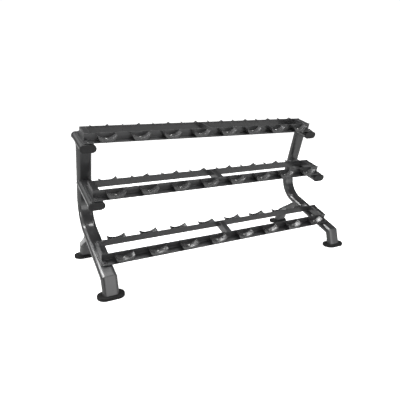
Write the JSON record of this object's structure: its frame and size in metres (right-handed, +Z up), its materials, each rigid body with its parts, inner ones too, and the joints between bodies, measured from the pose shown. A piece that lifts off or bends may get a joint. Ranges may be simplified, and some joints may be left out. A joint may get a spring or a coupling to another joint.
{
  "type": "dumbbell rack",
  "caption": "Free-standing rack with sloping steel-angle shelves, moulded cradles for round dumbbell heads, and bent flat-oval end frames on rubber feet.",
  "frame": {"origin": "on the floor at the middle of the footprint", "axes": "+X along the shelves to the right as seen from the front, +Y to the back, +Z up"},
  "size_m": [1.956, 0.793, 0.9714],
  "materials": {
    "frame_paint": "satin charcoal powder coat",
    "cradle_plastic": "matte moulded plastic",
    "cap_plastic": "matte black plastic",
    "foot_rubber": "matte black rubber",
    "zinc_fastener": "zinc plated",
    "dark_fastener": "black oxide"
  },
  "bodies": {
    "root": {"bottom_front_cradles": "cradle_plastic", "bottom_front_rail": "frame_paint", "bottom_left_bracket": "frame_paint", "bottom_middle_brace": "frame_paint", "bottom_rear_cradles": "cradle_plastic", "bottom_rear_rail": "frame_paint", "bottom_right_bracket": "frame_paint", "cradle_nuts": "zinc_fastener", "cradle_screws": "zinc_fastener", "foot_screws": "zinc_fastener", "left_bottom_seat_plate": "frame_paint", "left_front_foot": "foot_rubber", "left_front_foot_plug": "frame_paint", "left_front_leg": "frame_paint", "left_main_tube": "frame_paint", "left_middle_arm": "frame_paint", "left_middle_arm_cap": "cap_plastic", "left_middle_seat_plate": "frame_paint", "left_rear_foot": "foot_rubber", "left_rear_foot_plug": "frame_paint", "left_rear_leg": "frame_paint", "left_rear_strut": "frame_paint", "left_top_arm": "frame_paint", "left_top_arm_front_cap": "cap_plastic", "left_top_arm_rear_cap": "cap_plastic", "left_top_seat_plate": "frame_paint", "middle_front_cradles": "cradle_plastic", "middle_front_rail": "frame_paint", "middle_left_bracket": "frame_paint", "middle_middle_brace": "frame_paint", "middle_rear_cradles": "cradle_plastic", "middle_rear_rail": "frame_paint", "middle_right_bracket": "frame_paint", "right_bottom_seat_plate": "frame_paint", "right_front_foot": "foot_rubber", "right_front_foot_plug": "frame_paint", "right_front_leg": "frame_paint", "right_main_tube": "frame_paint", "right_middle_arm": "frame_paint", "right_middle_arm_cap": "cap_plastic", "right_middle_seat_plate": "frame_paint", "right_rear_foot": "foot_rubber", "right_rear_foot_plug": "frame_paint", "right_rear_leg": "frame_paint", "right_rear_strut": "frame_paint", "right_top_arm": "frame_paint", "right_top_arm_front_cap": "cap_plastic", "right_top_arm_rear_cap": "cap_plastic", "right_top_seat_plate": "frame_paint", "shelf_bolts": "dark_fastener", "shelf_nuts": "zinc_fastener", "shelf_washers": "zinc_fastener", "top_front_cradles": "cradle_plastic", "top_front_rail": "frame_paint", "top_left_bracket": "frame_paint", "top_middle_brace": "frame_paint", "top_rear_cradles": "cradle_plastic", "top_rear_rail": "frame_paint", "top_right_bracket": "frame_paint"}
  },
  "joints": []
}
